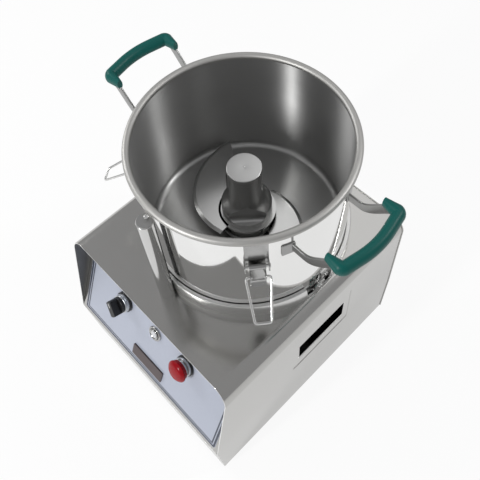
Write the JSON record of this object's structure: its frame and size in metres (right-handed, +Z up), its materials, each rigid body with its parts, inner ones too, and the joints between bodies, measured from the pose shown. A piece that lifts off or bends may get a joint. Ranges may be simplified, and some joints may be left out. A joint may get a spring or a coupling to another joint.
{
  "type": "table-top bowl cutter",
  "caption": "Open steel bowl with side handles, rim latches and crescent knives on a central hub, standing on a sheet-steel motor housing with an inclined control panel.",
  "frame": {"origin": "middle of the overall box, on the bench under the feet", "axes": "+Z up, +Y from the control panel towards the rear cover, +X to the right seen from the front"},
  "size_m": [0.3956, 0.3888, 0.458],
  "materials": {
    "satin_steel": "satin sheet stainless steel",
    "polished_steel": "polished stainless steel",
    "bright_trim": "bright",
    "label_film": "blue-grey printed film, semi-gloss",
    "plate_dark": "dark anodised, blank",
    "black_plastic": "black moulded",
    "green_grip": "teal-green moulded, semi-gloss",
    "red_cap": "red glossy",
    "foot_rubber": "black",
    "motor_paint": "grey paint",
    "motor_alloy": "cast",
    "knife_steel": "ground stainless steel",
    "white_plastic": "white moulded"
  },
  "bodies": {
    "housing": {"base_pan": "satin_steel", "housing_wrapper": "satin_steel", "front_apron": "satin_steel", "rubber_feet": "foot_rubber", "foot_bolts": "bright_trim", "rear_cover": "satin_steel", "cover_screws": "bright_trim", "cable_gland": "black_plastic", "vent_hoods": "satin_steel", "control_panel": "satin_steel", "panel_label": "label_film", "name_plate": "plate_dark", "switch_blocks": "black_plastic", "control_rings": "black_plastic", "control_bezels": "bright_trim", "start_bezel": "bright_trim", "bowl_seat": "polished_steel", "seat_catches": "satin_steel", "catch_screws": "bright_trim", "motor_body": "motor_paint", "motor_stator": "motor_alloy", "motor_bearings": "bright_trim", "motor_top_bell": "motor_alloy", "shaft_seal": "black_plastic", "motor_bottom_bell": "motor_alloy", "fan_cowl": "satin_steel", "motor_bolts": "bright_trim", "run_capacitor": "white_plastic", "capacitor_clamp": "satin_steel", "motor_relay": "black_plastic", "interlock_column": "polished_steel", "column_cap": "black_plastic", "interlock_switch": "black_plastic"},
    "rotor": {"motor_shaft": "bright_trim", "motor_fan": "black_plastic"},
    "bowl": {"bowl_shell": "polished_steel", "bowl_lugs": "polished_steel", "handle_strap_left": "polished_steel", "handle_strap_right": "polished_steel", "handle_grip_left": "green_grip", "handle_grip_right": "green_grip", "latch_plates": "polished_steel", "latch_pins": "bright_trim"},
    "knives": {"knife_upper": "knife_steel", "knife_lower": "knife_steel", "knife_spacer": "knife_steel", "knife_carrier": "knife_steel", "knife_hub": "knife_steel", "hub_cap": "knife_steel"},
    "selector": {"selector_knob": "black_plastic"},
    "start": {"start_button": "black_plastic"},
    "stop_slide": {"stop_stem": "black_plastic"},
    "stop_head": {"stop_cap": "red_cap"},
    "interlock": {"interlock_rod": "polished_steel"},
    "lever_right": {"latch_lever_right": "polished_steel"},
    "bail_right": {"latch_bail_right": "bright_trim"},
    "lever_left": {"latch_lever_left": "polished_steel"},
    "bail_left": {"latch_bail_left": "bright_trim"},
    "lever_rear": {"latch_lever_rear": "polished_steel"},
    "bail_rear": {"latch_bail_rear": "bright_trim"}
  },
  "joints": [
    {"name": "rotor_spin", "type": "hinge", "parent": "housing", "child": "rotor", "pos_m": [0, 0.0166, 0.2], "axis": [0, 0, 1], "continuous": true},
    {"name": "bowl_lift", "type": "slide", "parent": "housing", "child": "bowl", "axis": [0, 0, 1], "range_m": [0, 0.2]},
    {"name": "knife_lift", "type": "slide", "parent": "rotor", "child": "knives", "axis": [0, 0, 1], "range_m": [0, 0.2]},
    {"name": "selector_turn", "type": "hinge", "parent": "housing", "child": "selector", "pos_m": [-0.064, -0.15775, 0.1931], "axis": [0, -0.9217, 0.3878], "range_deg": [-90, 0]},
    {"name": "start_press", "type": "slide", "parent": "housing", "child": "start", "axis": [0, 0.9217, -0.3878], "range_m": [0, 0.002], "stiffness_N_per_m": 300},
    {"name": "stop_press", "type": "slide", "parent": "housing", "child": "stop_slide", "axis": [0, 0.9217, -0.3878], "range_m": [0, 0.004], "stiffness_N_per_m": 400},
    {"name": "stop_twist", "type": "hinge", "parent": "stop_slide", "child": "stop_head", "pos_m": [0.06, -0.15775, 0.1931], "axis": [0, -0.9217, 0.3878], "range_deg": [0, 40], "stiffness_Nm_per_rad": 0.03},
    {"name": "interlock_press", "type": "slide", "parent": "housing", "child": "interlock", "axis": [0, 0, -1], "range_m": [0, 0.004], "stiffness_N_per_m": 300},
    {"name": "lever_right_hinge", "type": "hinge", "parent": "bowl", "child": "lever_right", "pos_m": [0.1052, -0.06559, 0.4], "axis": [-0.6157, -0.788, 0], "range_deg": [0, 110]},
    {"name": "bail_right_hinge", "type": "hinge", "parent": "lever_right", "child": "bail_right", "pos_m": [0.10796, -0.06775, 0.383], "axis": [-0.6157, -0.788, 0], "range_deg": [-45, 30]},
    {"name": "lever_left_hinge", "type": "hinge", "parent": "bowl", "child": "lever_left", "pos_m": [-0.1052, -0.06559, 0.4], "axis": [-0.6157, 0.788, 0], "range_deg": [0, 110]},
    {"name": "bail_left_hinge", "type": "hinge", "parent": "lever_left", "child": "bail_left", "pos_m": [-0.10796, -0.06775, 0.383], "axis": [-0.6157, 0.788, 0], "range_deg": [-45, 30]},
    {"name": "lever_rear_hinge", "type": "hinge", "parent": "bowl", "child": "lever_rear", "pos_m": [0, 0.1501, 0.4], "axis": [1, 0, 0], "range_deg": [0, 110]},
    {"name": "bail_rear_hinge", "type": "hinge", "parent": "lever_rear", "child": "bail_rear", "pos_m": [0, 0.1536, 0.383], "axis": [1, 0, 0], "range_deg": [-45, 30]}
  ],
  "couplings": [
    {"joint": "knife_lift", "follows": "bowl_lift", "ratio": 1}
  ]
}
